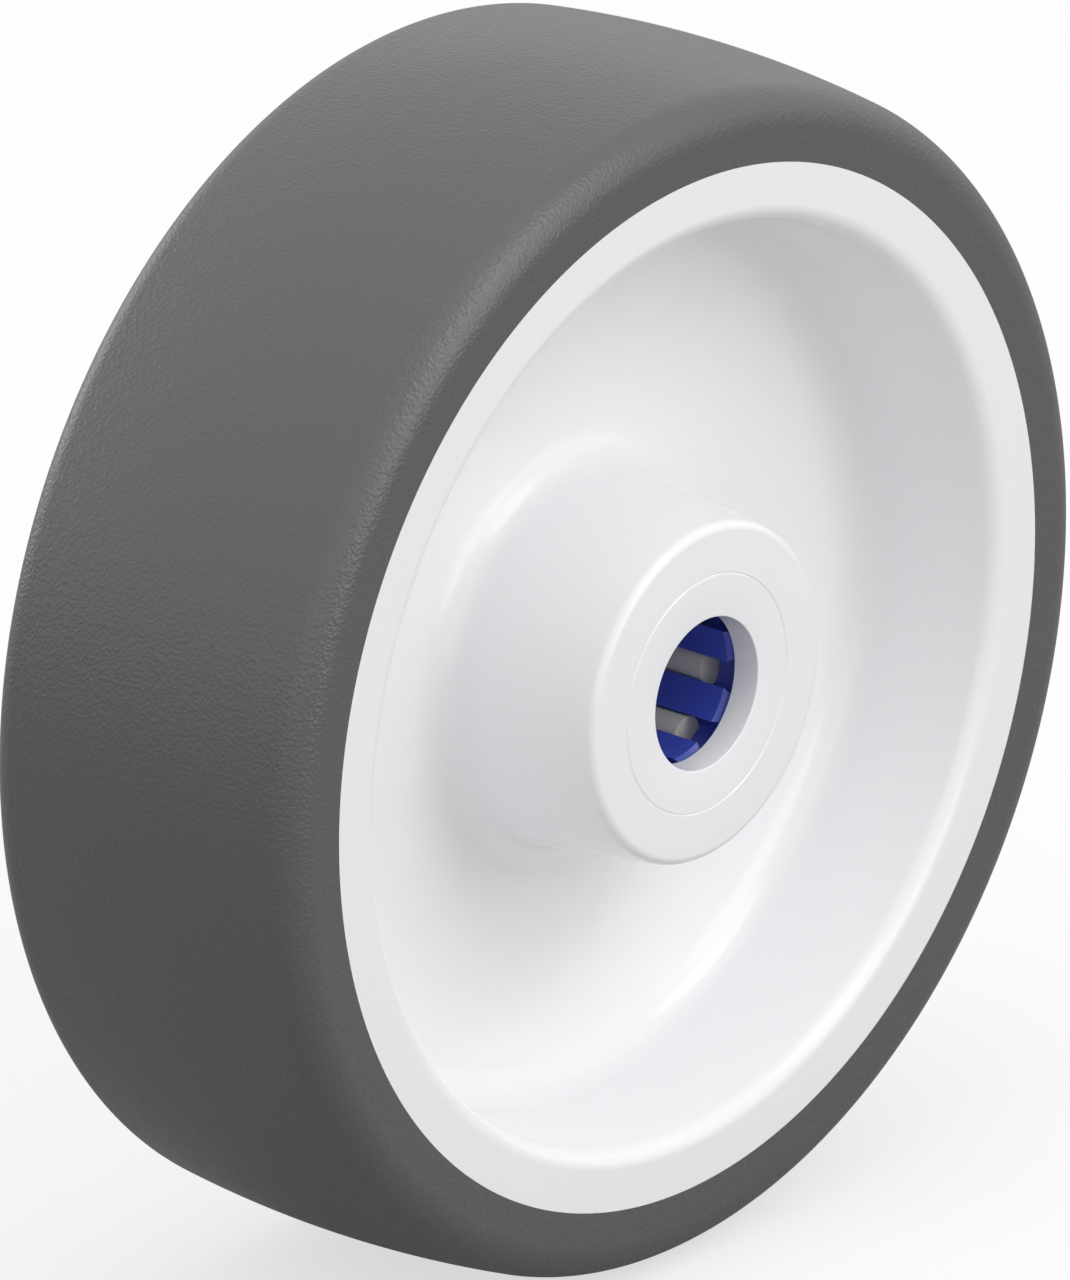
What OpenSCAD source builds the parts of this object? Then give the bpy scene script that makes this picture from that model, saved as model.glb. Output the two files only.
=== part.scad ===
// Castor wheel: an elastomer tread moulded onto a one-piece polypropylene centre,
// with a caged roller bearing that runs straight in the hub.
// The wheel turns about the Y axis and its front face looks along -Y.

/* [Wheel] */
// Diameter over the crown of the tread
wheel_d = 125; // [120:1:140]
// Width across the side faces of the tread and the rim
wheel_w = 40; // [36:0.5:44]
// Length of the hub from end face to end face
hub_length = 44.5; // [44:0.5:50]

/* [Tread] */
// Radius of the slight crown of the running surface
crown_radius = 130; // [100:5:400]
// Rounding of each tread shoulder
shoulder_radius = 4; // [2:0.5:5]
// Diameter of the joint between tread and rim
rim_d = 108; // [104:0.5:110]
// Height of the dovetail rib that keys the tread to the rim
key_height = 2.4; // [1:0.2:3.4]

/* [Wheel centre] */
// Thickness of the disc between hub and rim
web_thickness = 7; // [4:0.5:10]
// Mould draft of the hub boss and of the rim's inside wall, in degrees
draft = 6.5; // [2:0.5:9]
// Outside diameter of the hub boss at its end face, before the edge is rounded
hub_d = 35.6; // [33:0.2:38]
// Diameter of the rim's inside wall at the side face, before the edge is rounded
dish_d = 95.6; // [92:0.2:98]

/* [Bearing] */
// Roller diameter
roller_d = 4; // [3.5:0.1:4.2]
// Roller length
roller_length = 30; // [26:0.5:32]
// Diameter of the circle inside the rollers, a little over the 15 mm axle
roller_clear_d = 15.5; // [15.2:0.05:15.7]
// Bore of the two end caps
cap_bore_d = 15.9; // [15.5:0.05:16]

/* [Hidden] */
$fn = 160;

// half widths and radii of the wheel
rim_half = wheel_w / 2;
hub_half = hub_length / 2;
web_half = web_thickness / 2;
crown_r = wheel_d / 2;
rim_r = rim_d / 2;
hub_r = hub_d / 2;
dish_r = dish_d / 2;

// roundings of the wheel centre
hub_edge_r = 1;         // outer edge of the hub's end face
hub_root_r = 4;         // boss into disc
dish_corner_r = 4.5;    // disc into rim
rim_edge_r = 1.9;       // inner edge of the rim's side face

// dovetail rib around the rim
key_r = rim_r + key_height;
key_base_half = 6;
key_top_half = 7.5;

// end caps, pressed flush into the hub's end faces
cap_r = 12.45;
cap_t = 3.05;
seam = 0.12;            // chamfer on each side of the joint that shows on the end face
seat_half = hub_half - cap_t;

// rollers
roller_count = 8;
first_roller = 10.7;    // angle of roller 1 from +Z, towards +X, in degrees
roller_r = roller_d / 2;
roller_half = roller_length / 2;
pitch_r = roller_clear_d / 2 + roller_r;
raceway_r = pitch_r + roller_r + 0.05;

// cage
cage_r = raceway_r - 0.2;
cage_half = seat_half - 0.2;
ring_inner_r = cage_r - 1;
bar_inner_r = cap_bore_d / 2 + 0.1;
lead_in = 0.88;         // chamfer at each end of the bars, where the axle enters
pocket_r = roller_r + 0.25;
pocket_half = roller_half + 0.15;
beyond = 1;             // how far a cutter runs past what it cuts

// Points of an arc from angle a0 to angle a1, at most about 5 degrees apart.
function arc(centre, r, a0, a1) =
    let (n = max(2, ceil(abs(a1 - a0) / 5)))
    [for (i = [0 : n]) let (a = a0 + (a1 - a0) * i / n) centre + r * [cos(a), sin(a)]];

// A half outline above the wheel's middle plane, completed by its mirror image below.
function both_halves(points) =
    concat(points, [
        for (i = [len(points) - 1 : -1 : 0])
            if (points[i].y > 0) [points[i].x, -points[i].y]
    ]);

// Turns an outline of [radius, distance along the axle] about the axle.
module turned(outline) {
    rotate([-90, 0, 0]) rotate_extrude() polygon(outline);
}

module axial_cylinder(r, half) {
    rotate([-90, 0, 0]) cylinder(r = r, h = 2 * half, center = true);
}

// Hub boss, disc and rim in one outline, from the raceway out to the dovetail rib.
function centre_outline() =
    let (
        edge = [hub_r - hub_edge_r, hub_half - hub_edge_r],
        boss_line = edge * [cos(draft), sin(draft)] + hub_edge_r,
        root_y = web_half + hub_root_r,
        root = [(boss_line + hub_root_r - root_y * sin(draft)) / cos(draft), root_y],
        lip = [dish_r + rim_edge_r, rim_half - rim_edge_r],
        wall_line = lip * [-cos(draft), sin(draft)] + rim_edge_r,
        corner_y = web_half + dish_corner_r,
        corner = [(corner_y * sin(draft) - wall_line - dish_corner_r) / cos(draft), corner_y]
    )
    both_halves(concat(
        [[raceway_r, seat_half], [cap_r, seat_half], [cap_r, hub_half - seam], [cap_r + seam, hub_half]],
        arc(edge, hub_edge_r, 90, draft),
        arc(root, hub_root_r, 180 + draft, 270),
        arc(corner, dish_corner_r, 270, 360 - draft),
        arc(lip, rim_edge_r, 180 - draft, 90),
        [[rim_r, rim_half], [rim_r, key_base_half], [key_r, key_top_half]]
    ));

// Side face, shoulder and crown of the tread, which grips the rim's dovetail rib.
function tread_outline() =
    let (
        crown = [crown_r - crown_radius, 0],
        shoulder_y = rim_half - shoulder_radius,
        shoulder_x = crown.x + sqrt(pow(crown_radius - shoulder_radius, 2) - pow(shoulder_y, 2)),
        meet = atan2(shoulder_y, shoulder_x - crown.x)
    )
    both_halves(concat(
        [[key_r, key_top_half], [rim_r, key_base_half], [rim_r, rim_half]],
        arc([shoulder_x, shoulder_y], shoulder_radius, 90, meet),
        [for (i = [7 : -1 : 0]) crown + crown_radius * [cos(meet * i / 8), sin(meet * i / 8)]]
    ));

module wheel_centre() {
    color("white") turned(centre_outline());
}

module tread() {
    color("dimgray") turned(tread_outline());
}

// side is -1 at the front and 1 at the rear
module end_cap(side) {
    color("white") mirror([0, side < 0 ? 1 : 0, 0]) turned([
        [cap_bore_d / 2, seat_half],
        [cap_r, seat_half],
        [cap_r, hub_half - seam],
        [cap_r - seam, hub_half],
        [cap_bore_d / 2, hub_half],
    ]);
}

// Puts children at the place of roller i on the pitch circle.
module at_roller(i) {
    rotate([0, first_roller + i * 360 / roller_count, 0]) translate([0, 0, pitch_r]) children();
}

// Cone that chamfers the bars' inner edge at one end; side is -1 at the front and 1 at the rear.
module lead_in_cone(side) {
    turned([
        [0, side * (cage_half - lead_in)],
        [bar_inner_r, side * (cage_half - lead_in)],
        [bar_inner_r + lead_in + beyond, side * (cage_half + beyond)],
        [0, side * (cage_half + beyond)],
    ]);
}

// Bars between the rollers, joined by a thin ring at each end; the rollers snap into the pockets.
module roller_cage() {
    color("mediumblue") difference() {
        axial_cylinder(cage_r, cage_half);
        axial_cylinder(bar_inner_r, cage_half + beyond);
        for (i = [0 : roller_count - 1]) at_roller(i) axial_cylinder(pocket_r, pocket_half);
        intersection() {
            axial_cylinder(ring_inner_r, cage_half + beyond);
            for (i = [0 : roller_count - 1]) at_roller(i) axial_cylinder(pocket_r, cage_half + beyond);
        }
        for (side = [-1, 1]) lead_in_cone(side);
    }
}

module roller(i) {
    color("gray") at_roller(i) axial_cylinder(roller_r, roller_half);
}

wheel_centre();
tread();
end_cap(-1);  // front_end_cap
end_cap(1);  // rear_end_cap
roller_cage();
for (i = [0 : roller_count - 1])
    roller(i);
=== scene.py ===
"""Looks of a castor wheel: grey elastomer tread, white plastic centre, caged roller bearing.

The wheel turns about the Y axis and its front face looks along -Y. Names that end in _mm and the
sizes of the wheel's pieces are in millimetres. Lamps, floor and meshes are in metres.
"""

from __future__ import annotations

import logging
import math
from dataclasses import dataclass
from enum import Enum

import bmesh
import bpy
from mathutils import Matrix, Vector


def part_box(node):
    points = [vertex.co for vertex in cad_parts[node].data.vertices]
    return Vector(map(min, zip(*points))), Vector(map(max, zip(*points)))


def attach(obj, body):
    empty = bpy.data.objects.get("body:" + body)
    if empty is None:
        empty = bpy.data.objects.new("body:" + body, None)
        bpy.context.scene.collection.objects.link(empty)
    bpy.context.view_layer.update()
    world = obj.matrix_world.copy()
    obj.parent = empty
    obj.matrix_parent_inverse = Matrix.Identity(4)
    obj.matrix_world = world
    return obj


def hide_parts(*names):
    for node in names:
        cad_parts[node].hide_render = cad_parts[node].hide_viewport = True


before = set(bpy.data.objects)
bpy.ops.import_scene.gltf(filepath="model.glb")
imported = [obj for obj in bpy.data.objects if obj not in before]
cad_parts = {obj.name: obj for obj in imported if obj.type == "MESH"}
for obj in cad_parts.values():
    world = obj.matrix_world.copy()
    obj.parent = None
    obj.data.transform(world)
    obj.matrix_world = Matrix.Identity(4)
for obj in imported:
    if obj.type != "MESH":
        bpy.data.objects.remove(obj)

log = logging.getLogger("castor_wheel")

MM = 0.001                      # metres in a millimetre
WAVE_SPACING = 0.3              # about how far apart a wave texture's bands lie at a scale of 1
WHITE = "ffffff"

Point = tuple[float, float]     # radius and distance along the axle


class Side(Enum):
    """The two faces of the wheel, as the sign of their Y."""

    FRONT = -1
    REAR = 1


class Slot(Enum):
    """The record's material slots."""

    CENTRE = "white_polypropylene"
    TREAD = "grey_elastomer"
    CAGE = "blue_nylon"
    ROLLER = "roller_steel"


def linear(hex_colour: str) -> tuple[float, float, float, float]:
    """Turn an sRGB hex colour into linear RGBA.

    Args:
        hex_colour: Six hex digits, such as "6c6c6c".

    Returns:
        Linear red, green and blue, with an alpha of 1.
    """
    channels = [int(hex_colour[i:i + 2], 16) / 255 for i in (0, 2, 4)]
    curve = [c / 12.92 if c <= 0.04045 else ((c + 0.055) / 1.055) ** 2.4 for c in channels]
    return curve[0], curve[1], curve[2], 1.0


def add_node(
    tree: bpy.types.NodeTree,
    kind: str,
    settings: dict[str, object] | None = None,
    values: dict[str | int, object] | None = None,
    links: dict[str | int, bpy.types.NodeSocket] | None = None,
) -> bpy.types.Node:
    """Add one node with its settings, input values and incoming links.

    Args:
        tree: The node tree that gets the node.
        kind: The node's type name, such as "ShaderNodeBump".
        settings: Attributes of the node itself.
        values: Default values of its inputs, by name or index.
        links: Sockets that feed its inputs, by name or index.

    Returns:
        The new node.
    """
    node = tree.nodes.new(kind)
    for name, value in (settings or {}).items():
        setattr(node, name, value)
    for name, value in (values or {}).items():
        node.inputs[name].default_value = value
    for name, socket in (links or {}).items():
        tree.links.new(socket, node.inputs[name])
    return node


def empty_material(name: str) -> tuple[bpy.types.Material, bpy.types.NodeTree]:
    """Make a material with no nodes in it.

    Args:
        name: The material's name.

    Returns:
        The material and its node tree.
    """
    material = bpy.data.materials.new(name)
    material.use_nodes = True
    material.node_tree.nodes.clear()
    return material, material.node_tree


@dataclass(frozen=True)
class MouldedPolypropylene:
    """White polypropylene from a polished mould: dense, slightly waxy, with a soft broad gloss."""

    name: str = "polypropylene_moulded"
    colour: str = "f4f4f6"
    roughness: float = 0.16
    ior: float = 1.49
    ripple_mm: float = 9.0      # shrinkage ripple left by the cooling of thick walls
    ripple_depth_mm: float = 0.003
    haze_mm: float = 6.0        # size of the patches where the gloss differs a little
    haze_spread: float = 0.015  # how far the haze moves the roughness either way

    def build(self) -> bpy.types.Material:
        """Build the material.

        Returns:
            The material.
        """
        material, tree = empty_material(self.name)
        place = add_node(tree, "ShaderNodeTexCoord")
        haze = add_node(
            tree, "ShaderNodeTexNoise",
            values={"Scale": 1 / (self.haze_mm * MM), "Detail": 1.0},
            links={"Vector": place.outputs["Object"]},
        )
        gloss = add_node(
            tree, "ShaderNodeMapRange",
            values={
                "To Min": self.roughness - self.haze_spread,
                "To Max": self.roughness + self.haze_spread,
            },
            links={"Value": haze.outputs["Fac"]},
        )
        ripple = add_node(
            tree, "ShaderNodeTexNoise",
            values={"Scale": 1 / (self.ripple_mm * MM), "Detail": 1.0},
            links={"Vector": place.outputs["Object"]},
        )
        bump = add_node(
            tree, "ShaderNodeBump",
            values={"Strength": 1.0, "Distance": self.ripple_depth_mm * MM},
            links={"Height": ripple.outputs["Fac"]},
        )
        shader = add_node(
            tree, "ShaderNodeBsdfPrincipled",
            values={"Base Color": linear(self.colour), "IOR": self.ior},
            links={"Roughness": gloss.outputs["Result"], "Normal": bump.outputs["Normal"]},
        )
        add_node(tree, "ShaderNodeOutputMaterial", links={"Surface": shader.outputs["BSDF"]})
        return material


@dataclass(frozen=True)
class GrainedElastomer:
    """Grey thermoplastic elastomer from an etched mould: matt, with fine wrinkled grain."""

    name: str = "elastomer_grained"
    colour: str = "535355"
    roughness: float = 0.36
    ior: float = 1.65           # the filler in the compound raises it
    grain_mm: float = 0.42      # spacing of the etched wrinkles
    grain_depth_mm: float = 0.06
    swirl_mm: float = 1.05      # size of the swirls that bend the grain
    swirl_reach_mm: float = 0.672   # how far they bend it

    def build(self) -> bpy.types.Material:
        """Build the material.

        Returns:
            The material.
        """
        material, tree = empty_material(self.name)
        place = add_node(tree, "ShaderNodeTexCoord")
        swirl = add_node(
            tree, "ShaderNodeTexNoise",
            values={"Scale": 1 / (self.swirl_mm * MM), "Detail": 2.0},
            links={"Vector": place.outputs["Object"]},
        )
        bent = add_node(
            tree, "ShaderNodeVectorMath", settings={"operation": "MULTIPLY_ADD"},
            values={1: [self.swirl_reach_mm * MM] * 3},
            links={0: swirl.outputs["Color"], 2: place.outputs["Object"]},
        )
        wrinkles = add_node(
            tree, "ShaderNodeTexVoronoi", settings={"feature": "F1"},
            values={"Scale": 1 / (self.grain_mm * MM), "Randomness": 1.0},
            links={"Vector": bent.outputs["Vector"]},
        )
        bump = add_node(
            tree, "ShaderNodeBump",
            values={"Strength": 1.0, "Distance": self.grain_depth_mm * MM},
            links={"Height": wrinkles.outputs["Distance"]},
        )
        shader = add_node(
            tree, "ShaderNodeBsdfPrincipled",
            values={"Base Color": linear(self.colour), "IOR": self.ior, "Roughness": self.roughness},
            links={"Normal": bump.outputs["Normal"]},
        )
        add_node(tree, "ShaderNodeOutputMaterial", links={"Surface": shader.outputs["BSDF"]})
        return material


@dataclass(frozen=True)
class MouldedNylon:
    """Blue polyamide from a polished mould: deep colour under a soft gloss."""

    name: str = "polyamide_moulded"
    colour: str = "4051bb"
    roughness: float = 0.32
    ior: float = 1.53
    cloud_mm: float = 1.5       # size of the patches where the gloss differs
    cloud_spread: float = 0.05  # how far they move the roughness either way

    def build(self) -> bpy.types.Material:
        """Build the material.

        Returns:
            The material.
        """
        material, tree = empty_material(self.name)
        place = add_node(tree, "ShaderNodeTexCoord")
        cloud = add_node(
            tree, "ShaderNodeTexNoise",
            values={"Scale": 1 / (self.cloud_mm * MM), "Detail": 2.0},
            links={"Vector": place.outputs["Object"]},
        )
        gloss = add_node(
            tree, "ShaderNodeMapRange",
            values={
                "To Min": self.roughness - self.cloud_spread,
                "To Max": self.roughness + self.cloud_spread,
            },
            links={"Value": cloud.outputs["Fac"]},
        )
        shader = add_node(
            tree, "ShaderNodeBsdfPrincipled",
            values={"Base Color": linear(self.colour), "IOR": self.ior},
            links={"Roughness": gloss.outputs["Result"]},
        )
        add_node(tree, "ShaderNodeOutputMaterial", links={"Surface": shader.outputs["BSDF"]})
        return material


@dataclass(frozen=True)
class PhosphatedSteel:
    """Ground bearing steel under a thin phosphate skin: matt light grey, faintly marked."""

    name: str = "bearing_steel_phosphated"
    colour: str = "d9d7cc"
    metallic: float = 0.25
    roughness: float = 0.45
    mark_mm: float = 0.12       # spacing of the grinding marks, coarser than real so that they show
    mark_depth_mm: float = 0.0008

    def build(self) -> bpy.types.Material:
        """Build the material.

        Returns:
            The material.
        """
        material, tree = empty_material(self.name)
        place = add_node(tree, "ShaderNodeTexCoord")
        marks = add_node(
            tree, "ShaderNodeTexWave",
            settings={"wave_type": "BANDS", "bands_direction": "Y"},
            values={"Scale": WAVE_SPACING / (self.mark_mm * MM), "Distortion": 1.5, "Detail": 2.0},
            links={"Vector": place.outputs["Object"]},
        )
        bump = add_node(
            tree, "ShaderNodeBump",
            values={"Strength": 1.0, "Distance": self.mark_depth_mm * MM},
            links={"Height": marks.outputs["Fac"]},
        )
        shader = add_node(
            tree, "ShaderNodeBsdfPrincipled",
            values={
                "Base Color": linear(self.colour), "Metallic": self.metallic, "Roughness": self.roughness,
            },
            links={"Normal": bump.outputs["Normal"]},
        )
        add_node(tree, "ShaderNodeOutputMaterial", links={"Surface": shader.outputs["BSDF"]})
        return material


def add_object(name: str, data: bpy.types.ID) -> bpy.types.Object:
    """Make an object and link it to the scene.

    Args:
        name: The object's name.
        data: Its mesh, lamp or camera.

    Returns:
        The new object, at the origin.
    """
    made = bpy.data.objects.new(name, data)
    bpy.context.scene.collection.objects.link(made)
    return made


def outward(azimuth: float, elevation: float) -> Vector:
    """Find the direction from the wheel's centre to a place round it.

    Args:
        azimuth: Degrees from the front, growing towards +X.
        elevation: Degrees above the level.

    Returns:
        A vector of length 1.
    """
    a, e = math.radians(azimuth), math.radians(elevation)
    return Vector((math.sin(a) * math.cos(e), -math.cos(a) * math.cos(e), math.sin(e)))


def look_inward(made: bpy.types.Object, out: Vector) -> None:
    """Turn a lamp or camera against the direction in which it stands, with its top upwards."""
    made.rotation_euler = (-out).to_track_quat("-Z", "Y").to_euler()


def arc(centre: Point, radius: float, start: float, end: float, step: float = 3.0) -> list[Point]:
    """Find the points of an arc in an outline.

    Args:
        centre: The arc's centre.
        radius: The arc's radius.
        start: Its first angle, in degrees from the outward radius.
        end: Its last angle.
        step: The widest angle between points.

    Returns:
        The points from start to end.
    """
    count = max(2, math.ceil(abs(end - start) / step))
    angles = [math.radians(start + (end - start) * i / count) for i in range(count + 1)]
    return [(centre[0] + radius * math.cos(a), centre[1] + radius * math.sin(a)) for a in angles]


def both_halves(half: list[Point]) -> list[Point]:
    """Complete an outline by its mirror image across the wheel's middle plane."""
    return half + [(r, -y) for r, y in reversed(half) if y > 0]


def bend(before: Point, here: Point, after: Point) -> float:
    """Find how sharply an outline turns at one of its points.

    Args:
        before: The point before it.
        here: The point itself.
        after: The point after it.

    Returns:
        The angle of the turn, from 0 to 180 degrees.
    """
    into = math.atan2(here[1] - before[1], here[0] - before[0])
    out = math.atan2(after[1] - here[1], after[0] - here[0])
    return abs((math.degrees(out - into) + 180) % 360 - 180)


def turned(name: str, outline: list[Point], segments: int, crease: float = 25.0) -> bpy.types.Object:
    """Turn a closed outline about the axle into a solid.

    Args:
        name: The object's name.
        outline: The points of the outline, in millimetres.
        segments: How many steps make the full turn.
        crease: Corners of the outline sharper than this many degrees are shaded as edges.

    Returns:
        The new object.
    """
    work = bmesh.new()
    turns = [math.tau * k / segments for k in range(segments)]
    rings = [
        [work.verts.new((r * math.sin(t) * MM, y * MM, r * math.cos(t) * MM)) for t in turns]
        for r, y in outline
    ]
    for i, here in enumerate(outline):
        following = (i + 1) % len(outline)
        near, far = rings[i], rings[following]
        sharp = bend(outline[i - 1], here, outline[following]) > crease
        for k in range(segments):
            after = (k + 1) % segments
            work.faces.new((near[k], near[after], far[after], far[k])).smooth = True
            if sharp:
                work.edges.get((near[k], near[after])).smooth = False
    bmesh.ops.recalc_face_normals(work, faces=work.faces)
    mesh = bpy.data.meshes.new(name)
    work.to_mesh(mesh)
    work.free()
    return add_object(name, mesh)


def dress(piece: bpy.types.Object, material: bpy.types.Material) -> None:
    """Give a piece its material.

    Args:
        piece: The piece.
        material: Its only material.
    """
    piece.data.materials.clear()
    piece.data.materials.append(material)


@dataclass
class WheelSizes:
    """Sizes that several pieces share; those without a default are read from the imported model."""

    crown_r: float
    rim_half: float
    key_r: float
    hub_half: float
    cap_r: float
    seat_half: float
    rim_r: float = 54.0
    key_base_half: float = 6.0
    key_top_half: float = 7.5
    seam: float = 0.12          # chamfer on each side of the joint round a cap

    @classmethod
    def from_frame(cls) -> "WheelSizes":
        """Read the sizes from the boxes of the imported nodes.

        Returns:
            The sizes, in millimetres.
        """
        _, tread_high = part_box("tread")
        _, centre_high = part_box("wheel_centre")
        cap_low, cap_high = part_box("rear_end_cap")
        return cls(
            crown_r=tread_high[2] / MM,
            rim_half=tread_high[1] / MM,
            key_r=centre_high[2] / MM,
            hub_half=cap_high[1] / MM,
            cap_r=cap_high[2] / MM,
            seat_half=cap_low[1] / MM,
        )

    def joint(self) -> list[Point]:
        """Find the joint between rim and tread, from the side face inward to the dovetail rib.

        Returns:
            The points of the half that lies towards +Y.
        """
        return [
            (self.rim_r, self.rim_half),
            (self.rim_r, self.key_base_half),
            (self.key_r, self.key_top_half),
        ]


@dataclass
class Tread:
    """The elastomer tread: crowned running surface, round shoulders and flat side faces."""

    sizes: WheelSizes
    crown_radius: float = 130.0
    crown_step: float = 0.6     # degrees between the points of the crown
    shoulder_radius: float = 4.0
    segments: int = 360

    def outline(self) -> list[Point]:
        """Find the tread's section, which grips the rim's dovetail rib.

        Returns:
            The points of the section.
        """
        s = self.sizes
        crown_x = s.crown_r - self.crown_radius
        shoulder_y = s.rim_half - self.shoulder_radius
        reach = math.sqrt((self.crown_radius - self.shoulder_radius) ** 2 - shoulder_y ** 2)
        meet = math.degrees(math.atan2(shoulder_y, reach))
        return both_halves(
            s.joint()[::-1]
            + arc((crown_x + reach, shoulder_y), self.shoulder_radius, 90, meet)
            + arc((crown_x, 0.0), self.crown_radius, meet, 0, step=self.crown_step)[1:]
        )

    def build(self, finish: GrainedElastomer) -> bpy.types.Object:
        """Build the tread and dress it.

        Args:
            finish: Finish of the tread.

        Returns:
            The tread.
        """
        piece = turned("tread_moulded", self.outline(), self.segments)
        dress(piece, finish.build())
        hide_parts("tread")
        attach(piece, "wheel")
        return piece


@dataclass
class WheelCentre:
    """The white moulding: hub boss, disc and rim, the same on both sides."""

    sizes: WheelSizes
    raceway_r: float = 11.8
    hub_r: float = 17.8
    dish_r: float = 47.8
    web_half: float = 3.5
    draft: float = 6.5          # degrees by which boss and rim wall lean for the mould
    hub_edge_r: float = 1.0
    hub_root_r: float = 4.0
    dish_corner_r: float = 4.5
    rim_edge_r: float = 1.9
    segments: int = 360

    def outline(self) -> list[Point]:
        """Find the section from the raceway out to the rim's dovetail rib.

        Returns:
            The points of the section.
        """
        s = self.sizes
        cosine, sine = math.cos(math.radians(self.draft)), math.sin(math.radians(self.draft))
        edge = (self.hub_r - self.hub_edge_r, s.hub_half - self.hub_edge_r)
        boss_line = edge[0] * cosine + edge[1] * sine + self.hub_edge_r
        root_y = self.web_half + self.hub_root_r
        root = ((boss_line + self.hub_root_r - root_y * sine) / cosine, root_y)
        lip = (self.dish_r + self.rim_edge_r, s.rim_half - self.rim_edge_r)
        wall_line = -lip[0] * cosine + lip[1] * sine + self.rim_edge_r
        corner_y = self.web_half + self.dish_corner_r
        corner = ((corner_y * sine - wall_line - self.dish_corner_r) / cosine, corner_y)
        cap_seat = [
            (self.raceway_r, s.seat_half),
            (s.cap_r, s.seat_half),
            (s.cap_r, s.hub_half - s.seam),
            (s.cap_r + s.seam, s.hub_half),
        ]
        return both_halves(
            cap_seat
            + arc(edge, self.hub_edge_r, 90, self.draft)
            + arc(root, self.hub_root_r, 180 + self.draft, 270)
            + arc(corner, self.dish_corner_r, 270, 360 - self.draft)
            + arc(lip, self.rim_edge_r, 180 - self.draft, 90)
            + s.joint()
        )

    def build(self, finish: bpy.types.Material) -> bpy.types.Object:
        """Build the wheel centre and dress it.

        Args:
            finish: The white material.

        Returns:
            The wheel centre.
        """
        piece = turned("wheel_centre_moulded", self.outline(), self.segments)
        dress(piece, finish)
        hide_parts("wheel_centre")
        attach(piece, "wheel")
        return piece


@dataclass
class EndCap:
    """A ring pressed flush into the hub's end face, which keeps the cage in."""

    sizes: WheelSizes
    side: Side
    bore_r: float = 7.95
    bore_edge_r: float = 0.15   # hair of rounding at the mouth of the bore
    bore_edge_step: float = 22.5
    segments: int = 180

    def outline(self) -> list[Point]:
        """Find the ring's section.

        Returns:
            The points of the section, on this cap's side of the wheel.
        """
        s = self.sizes
        mouth = (self.bore_r + self.bore_edge_r, s.hub_half - self.bore_edge_r)
        half = [
            (self.bore_r, s.seat_half),
            (s.cap_r, s.seat_half),
            (s.cap_r, s.hub_half - s.seam),
            (s.cap_r - s.seam, s.hub_half),
        ] + arc(mouth, self.bore_edge_r, 90, 180, step=self.bore_edge_step)
        return [(r, y * self.side.value) for r, y in half]

    def build(self, finish: bpy.types.Material) -> bpy.types.Object:
        """Build the cap and dress it.

        Args:
            finish: The white material.

        Returns:
            The cap.
        """
        word = self.side.name.lower()
        piece = turned(f"{word}_end_cap_pressed", self.outline(), self.segments)
        dress(piece, finish)
        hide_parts(f"{word}_end_cap")
        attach(piece, "wheel")
        return piece


@dataclass
class RollerBearing:
    """The blue cage and its steel rollers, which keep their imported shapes."""

    edge_mm: float = 0.12       # rounding of the cage's moulded edges
    edge_steps: int = 2
    edge_angle: float = 35.0    # edges sharper than this many degrees are rounded

    def build(self, cage: MouldedNylon, steel: PhosphatedSteel) -> list[bpy.types.Object]:
        """Dress the cage and the rollers.

        Args:
            cage: Finish of the cage.
            steel: Finish of the rollers.

        Returns:
            The dressed objects.
        """
        cage_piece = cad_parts["roller_cage"]
        dress(cage_piece, cage.build())
        bevel = cage_piece.modifiers.new("moulded edges", "BEVEL")
        bevel.width = self.edge_mm * MM
        bevel.segments = self.edge_steps
        bevel.limit_method = "ANGLE"
        bevel.angle_limit = math.radians(self.edge_angle)
        dressed = [cage_piece]
        ground = steel.build()
        for name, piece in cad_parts.items():
            if name.startswith("roller_") and name != "roller_cage":
                dress(piece, ground)
                dressed.append(piece)
        return dressed


@dataclass
class Lamp:
    """One round softbox, aimed at the wheel's centre; lengths are in metres and power in watts."""

    name: str
    azimuth: float
    elevation: float
    power: float
    size: float = 0.8
    distance: float = 1.2

    def build(self) -> None:
        """Put the softbox in its place."""
        data = bpy.data.lights.new(self.name, "AREA")
        data.shape = "DISK"
        data.size = self.size
        data.energy = self.power
        lamp = add_object(self.name, data)
        out = outward(self.azimuth, self.elevation)
        lamp.location = out * self.distance
        look_inward(lamp, out)


def seen_directly(tree: bpy.types.NodeTree, mirrored: float) -> bpy.types.NodeSocket:
    """Add nodes that tell what the camera sees, also in a reflection or through glass.

    Args:
        tree: The node tree of the background.
        mirrored: How strongly a reflection shows the background.

    Returns:
        A socket that is 1 for rays from the camera and through glass, this strength for
        reflections, and 0 for rays that light the object.
    """
    path = add_node(tree, "ShaderNodeLightPath")
    clear = add_node(
        tree, "ShaderNodeMath", settings={"operation": "MAXIMUM"},
        links={0: path.outputs["Is Camera Ray"], 1: path.outputs["Is Transmission Ray"]},
    )
    seen = add_node(
        tree, "ShaderNodeMath", settings={"operation": "MULTIPLY_ADD", "use_clamp": True},
        values={1: mirrored},
        links={0: path.outputs["Is Glossy Ray"], 2: clear.outputs["Value"]},
    )
    return seen.outputs["Value"]


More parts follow.
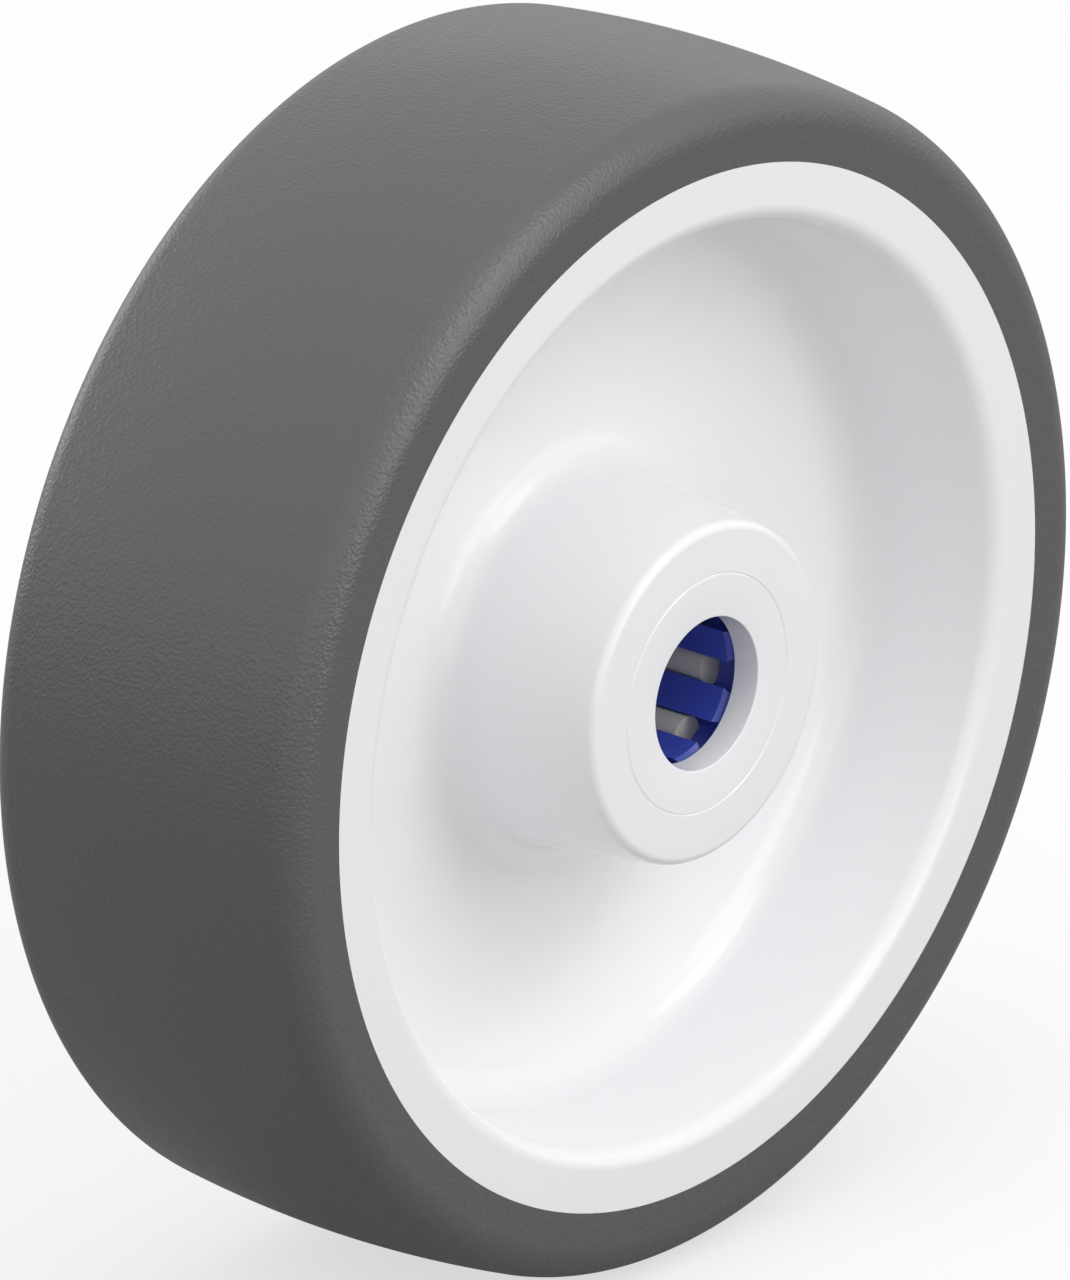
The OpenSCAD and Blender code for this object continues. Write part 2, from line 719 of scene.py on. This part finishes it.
@dataclass
class Studio:
    """Pale floor, even surroundings and soft lamps; lengths are in metres."""

    floor_z: float
    floor_half: float = 4.0
    floor_colour: str = "f4f4f4"
    floor_glow: float = 0.65        # how much of the floor's whiteness needs no light
    floor_mirrored: float = 0.15    # keeps that glow off the tread, which stands on it
    ambient: float = 0.86

    def floor(self) -> None:
        """Lay the floor under the tread."""
        half, z = self.floor_half, self.floor_z
        corners = [(-half, -half, z), (half, -half, z), (half, half, z), (-half, half, z)]
        mesh = bpy.data.meshes.new("floor")
        mesh.from_pydata(corners, [], [(0, 1, 2, 3)])
        floor = add_object("floor", mesh)
        material, tree = empty_material("paper_sweep")
        paper = add_node(
            tree, "ShaderNodeBsdfDiffuse", values={"Color": linear(self.floor_colour)},
        )
        glow = add_node(
            tree, "ShaderNodeEmission", values={"Color": linear(WHITE)},
            links={"Strength": seen_directly(tree, self.floor_mirrored)},
        )
        lit = add_node(
            tree, "ShaderNodeMixShader", values={0: self.floor_glow},
            links={1: paper.outputs["BSDF"], 2: glow.outputs["Emission"]},
        )
        add_node(tree, "ShaderNodeOutputMaterial", links={"Surface": lit.outputs["Shader"]})
        floor.data.materials.append(material)

    def surroundings(self) -> None:
        """Make the world white to the camera and an even soft light to everything else."""
        world = bpy.data.worlds.new("studio")
        world.use_nodes = True
        tree = world.node_tree
        tree.nodes.clear()
        strength = add_node(
            tree, "ShaderNodeMapRange",
            values={"To Min": self.ambient, "To Max": 1.0},
            links={"Value": seen_directly(tree, mirrored=1.0)},
        )
        background = add_node(
            tree, "ShaderNodeBackground", values={"Color": linear(WHITE)},
            links={"Strength": strength.outputs["Result"]},
        )
        add_node(tree, "ShaderNodeOutputWorld", links={"Surface": background.outputs["Background"]})
        bpy.context.scene.world = world

    def lamps(self) -> list[Lamp]:
        """Choose the softboxes: a key high in front, and fills from all round.

        Returns:
            The softboxes, not yet built.
        """
        return [
            Lamp("key_softbox", azimuth=10, elevation=45, power=2.8, size=0.7),
            Lamp("front_softbox", azimuth=10, elevation=10, power=2.4),
            Lamp("side_softbox", azimuth=-50, elevation=20, power=0.4),
            Lamp("overhead_softbox", azimuth=-50, elevation=80, power=0.8),
            Lamp("rear_softbox", azimuth=180, elevation=8, power=2.4),
        ]

    def build(self) -> None:
        """Set up floor, surroundings and lamps."""
        self.floor()
        self.surroundings()
        for lamp in self.lamps():
            lamp.build()
        bpy.context.scene.view_settings.view_transform = "Standard"


@dataclass
class PhotoCamera:
    """A long lens at the photograph's viewing angle, aimed at the wheel's centre."""

    azimuth: float = -49.9
    elevation: float = 22.0
    lens_mm: float = 1400.0
    sensor_mm: float = 36.0         # spans the frame's longer side, its height
    frame_height_px: int = 1280
    px_per_mm: float = 10.013
    aim_right_mm: float = -0.12     # evens out what little perspective the lens leaves
    clip_near: float = 0.1          # as a share of the camera's distance
    clip_far: float = 4.0

    def build(self) -> None:
        """Create the camera and make it the scene's."""
        distance = self.lens_mm / self.sensor_mm * self.frame_height_px / self.px_per_mm * MM
        data = bpy.data.cameras.new("photo_camera")
        data.lens = self.lens_mm
        data.sensor_width = self.sensor_mm
        data.clip_start = distance * self.clip_near
        data.clip_end = distance * self.clip_far
        camera = add_object("photo_camera", data)
        out = outward(self.azimuth, self.elevation)
        right = outward(self.azimuth + 90, 0)
        camera.location = out * distance + right * self.aim_right_mm * MM
        look_inward(camera, out)
        bpy.context.scene.camera = camera


def main() -> None:
    """Build the camera, the wheel's pieces and the studio, in that order."""
    logging.basicConfig(level=logging.INFO, format="%(name)s: %(message)s")
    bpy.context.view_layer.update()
    PhotoCamera().build()
    sizes = WheelSizes.from_frame()
    log.info("sizes from the frame: %s", sizes)
    white = MouldedPolypropylene().build()
    log.info("tread: %s", Tread(sizes).build(GrainedElastomer()).name)
    log.info("centre: %s", WheelCentre(sizes).build(white).name)
    for side in Side:
        log.info("cap: %s", EndCap(sizes, side).build(white).name)
    for piece in RollerBearing().build(MouldedNylon(), PhosphatedSteel()):
        log.info("bearing: %s", piece.name)
    Studio(floor_z=-sizes.crown_r * MM).build()


if __name__ == "__main__":
    main()
